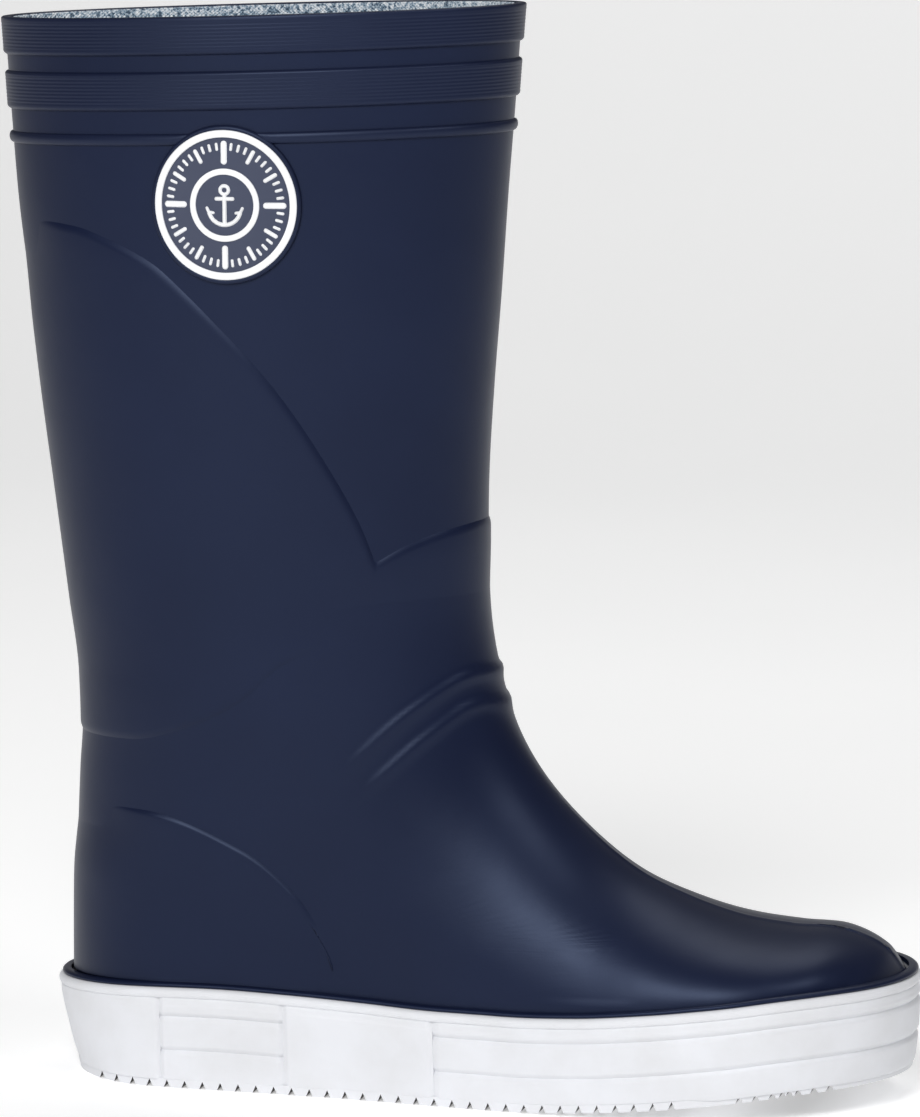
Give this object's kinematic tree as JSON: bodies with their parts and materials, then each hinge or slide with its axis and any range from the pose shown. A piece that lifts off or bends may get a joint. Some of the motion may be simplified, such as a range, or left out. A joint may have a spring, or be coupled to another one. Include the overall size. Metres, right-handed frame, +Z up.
{
  "type": "deck boot",
  "caption": "Pull-on deck boot for the right foot: moulded navy upper with ribbed cuff, round badge and knit lining on a white siped cup sole; bends at the ankle",
  "frame": {"origin": "middle of the boot's bounding box in plan, on the ground under the tread", "axes": "+X from heel to toe, +Y from the outer side to the inner side of the foot, +Z up along the leg"},
  "size_m": [0.303, 0.103, 0.3533],
  "materials": {
    "navy_pvc": "satin moulded navy PVC",
    "white_rubber": "matt white rubber",
    "tread_rubber": "matt white rubber, siped",
    "core_rubber": "plain white rubber",
    "melange_knit": "pale blue and white melange knit",
    "fibre_board": "pressed fibre board",
    "foam": "soft foam",
    "footbed_fabric": "brushed knit",
    "badge_field": "dark navy moulded badge field",
    "badge_white": "white moulded relief"
  },
  "bodies": {
    "foot": {"outsole_tread": "tread_rubber", "sole_core": "core_rubber", "foxing_heel": "white_rubber", "foxing_ribbed_outer": "white_rubber", "foxing_ribbed_inner": "white_rubber", "foxing_side_outer": "white_rubber", "foxing_side_inner": "white_rubber", "foxing_toe": "white_rubber", "foxing_bead": "white_rubber", "upper_flange": "navy_pvc", "foot_shell": "navy_pvc", "heel_counter": "navy_pvc", "ankle_shell": "navy_pvc", "ankle_lining": "melange_knit", "foot_lining": "melange_knit", "insole_board": "fibre_board", "footbed_foam": "foam", "footbed_cover": "footbed_fabric"},
    "leg": {"leg_shell": "navy_pvc", "leg_lining": "melange_knit", "leg_panel": "navy_pvc", "cuff_band_top": "navy_pvc", "cuff_band_lower": "navy_pvc", "cuff_bead": "navy_pvc", "badge_disc": "badge_field", "badge_ring": "badge_white", "badge_inner_ring": "badge_white", "badge_motif": "badge_white"}
  },
  "joints": [
    {"name": "ankle_flex", "type": "hinge", "parent": "foot", "child": "leg", "pos_m": [-0.0598, 0.00032, 0.1115], "axis": [0, 1, 0], "range_deg": [-8, 15], "stiffness_Nm_per_rad": 6, "deforming": ["ankle_shell", "ankle_lining"]}
  ]
}
